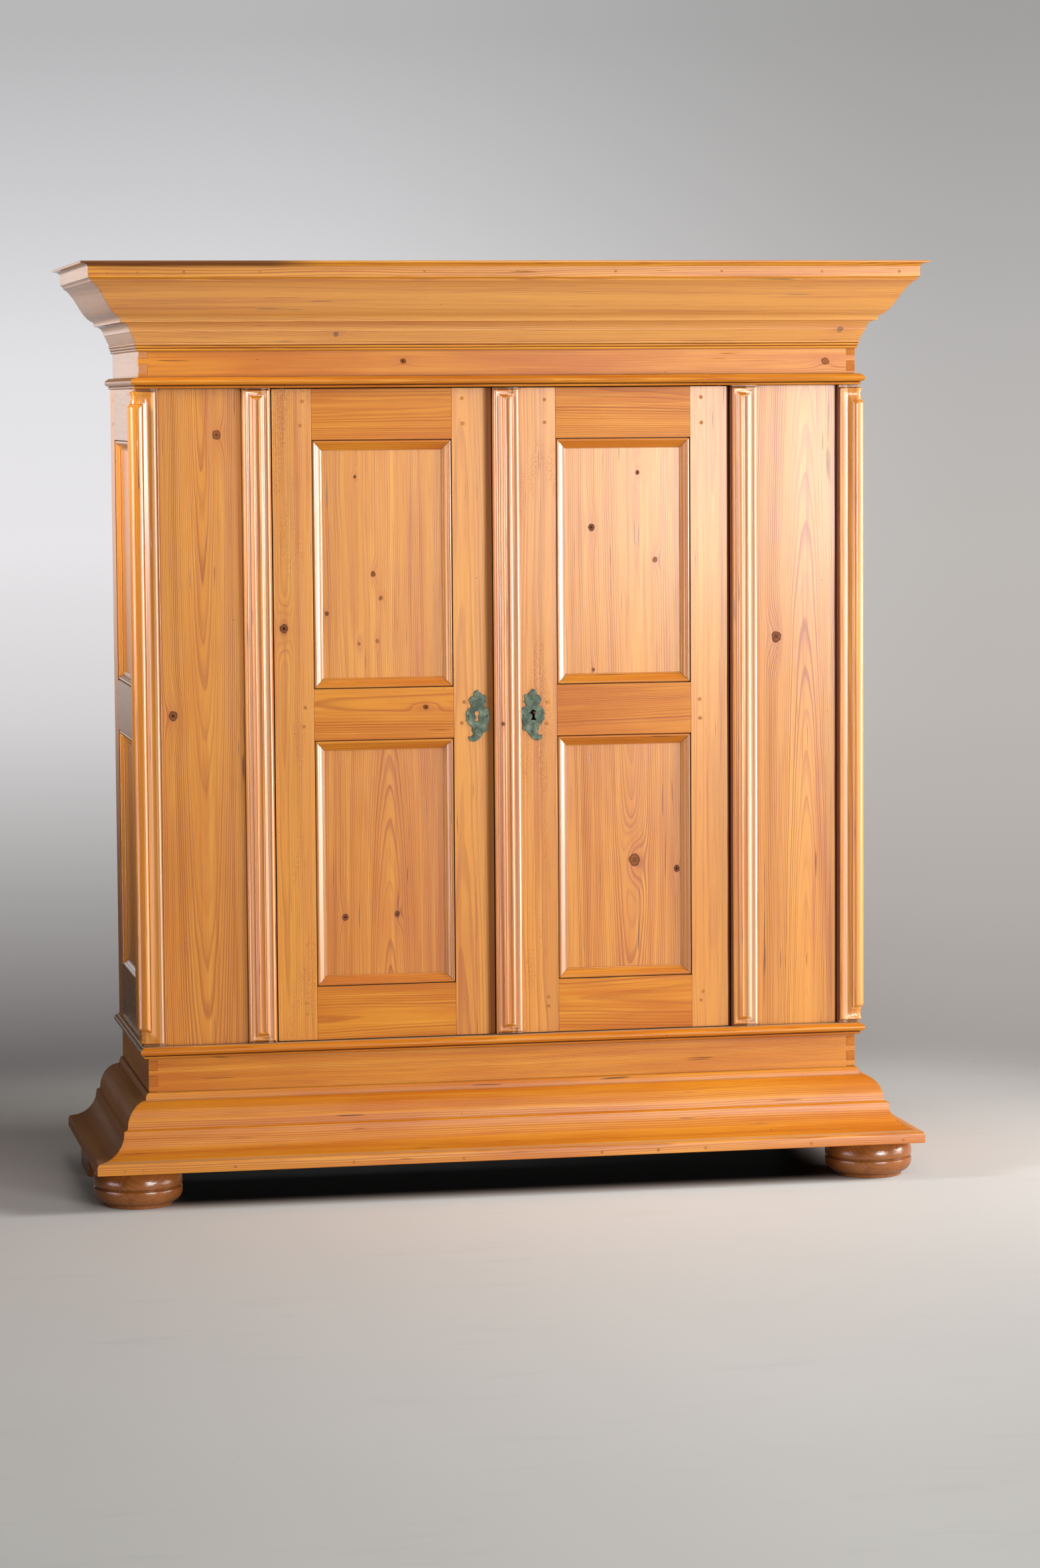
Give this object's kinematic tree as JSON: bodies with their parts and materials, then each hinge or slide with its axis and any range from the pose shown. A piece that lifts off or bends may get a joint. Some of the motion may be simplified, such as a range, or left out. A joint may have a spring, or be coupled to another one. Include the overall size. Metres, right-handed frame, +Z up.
{
  "type": "two-door cupboard",
  "caption": "Free-standing pine cupboard with framed and panelled doors, fluted pilaster strips, a deep moulded cornice and base, bun feet and leafy key plates.",
  "frame": {"origin": "middle of the footprint, on the floor under the feet", "axes": "+X to the right of someone facing the doors, the doors face -Y, +Z up"},
  "size_m": [1.7334, 0.6366, 1.9],
  "materials": {
    "waxed_pine": "stripped pine, waxed and polished to a warm honey colour",
    "inside_pine": "bare planed pine, unpolished",
    "foot_pine": "dark polished, glossy",
    "patinated_metal": "dark green-grey patina, worn at the edges",
    "dark_iron": "dark oiled iron"
  },
  "bodies": {
    "carcass": {"bun_foot_front_left": "foot_pine", "bun_foot_front_right": "foot_pine", "block_foot_rear_left": "foot_pine", "block_foot_rear_right": "foot_pine", "base_moulding_front": "waxed_pine", "base_moulding_left": "waxed_pine", "base_moulding_right": "waxed_pine", "plinth_front": "waxed_pine", "plinth_left": "waxed_pine", "plinth_right": "waxed_pine", "waist_moulding_lower": "waxed_pine", "floor_board": "waxed_pine", "front_pier_left": "waxed_pine", "front_pier_right": "waxed_pine", "corner_lisene_left": "waxed_pine", "corner_lisene_right": "waxed_pine", "door_lisene_left": "waxed_pine", "door_lisene_right": "waxed_pine", "side_frame_left": "waxed_pine", "side_frame_right": "waxed_pine", "side_panel_lower_left": "waxed_pine", "side_panel_lower_right": "waxed_pine", "side_panel_upper_left": "waxed_pine", "side_panel_upper_right": "waxed_pine", "back_panel": "inside_pine", "shelf": "inside_pine", "ceiling_board": "waxed_pine", "waist_moulding_upper": "waxed_pine", "frieze_front": "waxed_pine", "frieze_left": "waxed_pine", "frieze_right": "waxed_pine", "cornice_front": "waxed_pine", "cornice_left": "waxed_pine", "cornice_right": "waxed_pine"},
    "left_door": {"left_door_hinge_stile": "waxed_pine", "left_door_lock_stile": "waxed_pine", "left_door_bottom_rail": "waxed_pine", "left_door_middle_rail": "waxed_pine", "left_door_top_rail": "waxed_pine", "left_door_lower_panel": "waxed_pine", "left_door_upper_panel": "waxed_pine", "escutcheon_left": "patinated_metal", "left_door_pivot_upper": "dark_iron", "left_door_pivot_lower": "dark_iron", "lock_keeper": "dark_iron", "bolt_staple": "dark_iron"},
    "right_door": {"right_door_hinge_stile": "waxed_pine", "right_door_lock_stile": "waxed_pine", "right_door_bottom_rail": "waxed_pine", "right_door_middle_rail": "waxed_pine", "right_door_top_rail": "waxed_pine", "right_door_lower_panel": "waxed_pine", "right_door_upper_panel": "waxed_pine", "astragal": "waxed_pine", "escutcheon_right": "patinated_metal", "right_door_pivot_upper": "dark_iron", "right_door_pivot_lower": "dark_iron", "lock_case": "dark_iron"},
    "rim_lock_bolt": {"lock_bolt": "dark_iron"},
    "inner_bolt": {"left_door_bolt": "dark_iron"}
  },
  "joints": [
    {"name": "left_door_hinge", "type": "hinge", "parent": "carcass", "child": "left_door", "pos_m": [-0.454, -0.17765, 0.3197], "axis": [0, 0, -1], "range_deg": [0, 105]},
    {"name": "right_door_hinge", "type": "hinge", "parent": "carcass", "child": "right_door", "pos_m": [0.454, -0.17765, 0.3197], "axis": [0, 0, 1], "range_deg": [0, 105]},
    {"name": "lock_bolt_slide", "type": "slide", "parent": "right_door", "child": "rim_lock_bolt", "axis": [-1, 0, 0], "range_m": [0, 0.014]},
    {"name": "inner_bolt_slide", "type": "slide", "parent": "left_door", "child": "inner_bolt", "axis": [0, 0, 1], "range_m": [0, 0.018]}
  ]
}
